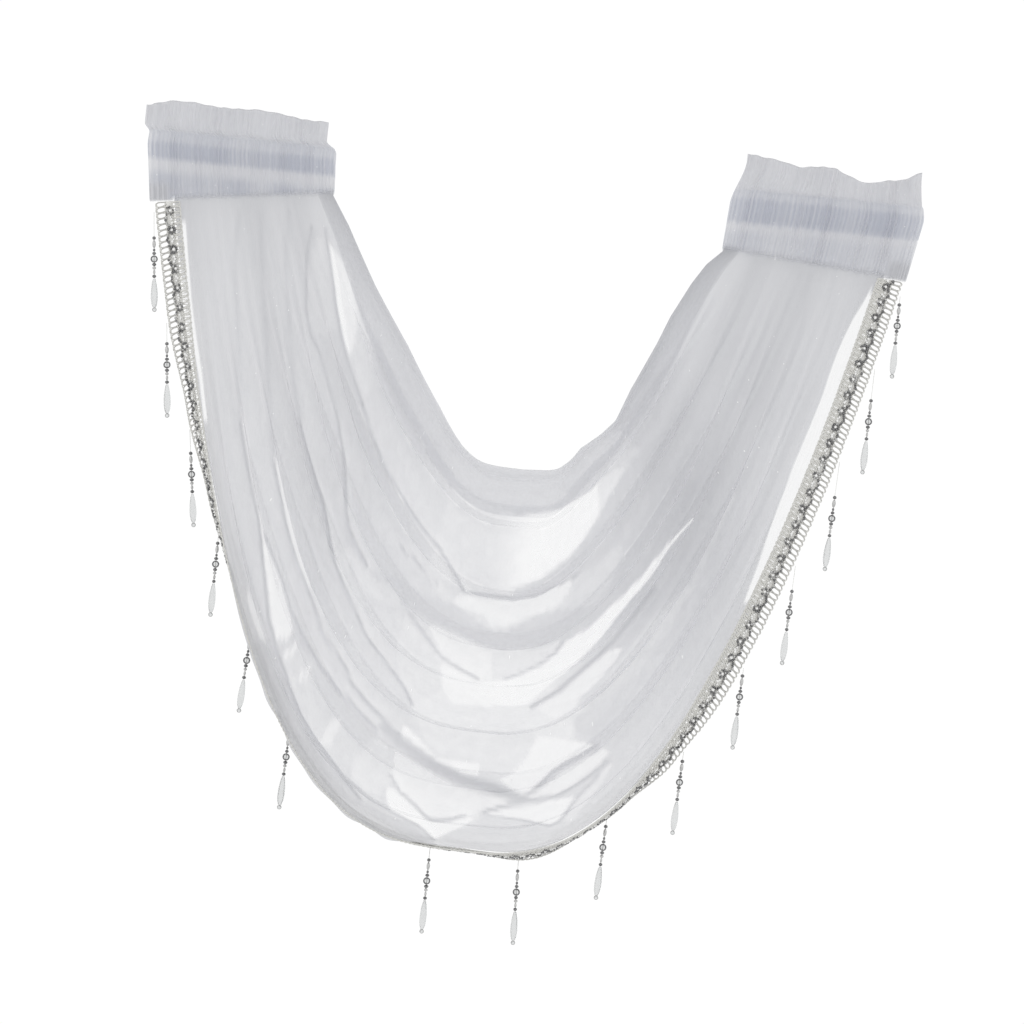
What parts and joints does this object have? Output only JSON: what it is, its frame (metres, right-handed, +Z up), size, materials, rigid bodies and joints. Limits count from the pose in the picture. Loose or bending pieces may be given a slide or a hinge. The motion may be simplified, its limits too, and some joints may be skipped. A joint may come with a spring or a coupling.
{
  "type": "sheer swag valance",
  "caption": "Sheer swag valance gathered into a shirred rod-pocket heading at each end, with a looped braid, a zigzag bead row and glass-drop pendants along its lower edge.",
  "frame": {"origin": "on the axis of the curtain rod, midway between the two headings", "axes": "+X along the rod to the viewer's right, -Y the front, +Z up"},
  "size_m": [0.7826, 0.0511, 0.8105],
  "materials": {
    "voile": "crushed sheer voile, cool white, with fine metallic flecks",
    "braid_yarn": "ivory gimp yarn",
    "gunmetal_bead": "glossy gunmetal glass bead",
    "clear_drop": "clear cut glass"
  },
  "bodies": {
    "root": {"panel": "voile", "heading_left": "voile", "heading_right": "voile", "braid": "braid_yarn", "bead_row": "gunmetal_bead", "pendant_01_beads": "gunmetal_bead", "pendant_01_drop": "clear_drop", "pendant_02_beads": "gunmetal_bead", "pendant_02_drop": "clear_drop", "pendant_03_beads": "gunmetal_bead", "pendant_03_drop": "clear_drop", "pendant_04_beads": "gunmetal_bead", "pendant_04_drop": "clear_drop", "pendant_05_beads": "gunmetal_bead", "pendant_05_drop": "clear_drop", "pendant_06_beads": "gunmetal_bead", "pendant_06_drop": "clear_drop", "pendant_07_beads": "gunmetal_bead", "pendant_07_drop": "clear_drop", "pendant_08_beads": "gunmetal_bead", "pendant_08_drop": "clear_drop", "pendant_09_beads": "gunmetal_bead", "pendant_09_drop": "clear_drop", "pendant_10_beads": "gunmetal_bead", "pendant_10_drop": "clear_drop", "pendant_11_beads": "gunmetal_bead", "pendant_11_drop": "clear_drop", "pendant_12_beads": "gunmetal_bead", "pendant_12_drop": "clear_drop", "pendant_13_beads": "gunmetal_bead", "pendant_13_drop": "clear_drop", "pendant_14_beads": "gunmetal_bead", "pendant_14_drop": "clear_drop", "pendant_15_beads": "gunmetal_bead", "pendant_15_drop": "clear_drop"}
  },
  "joints": []
}
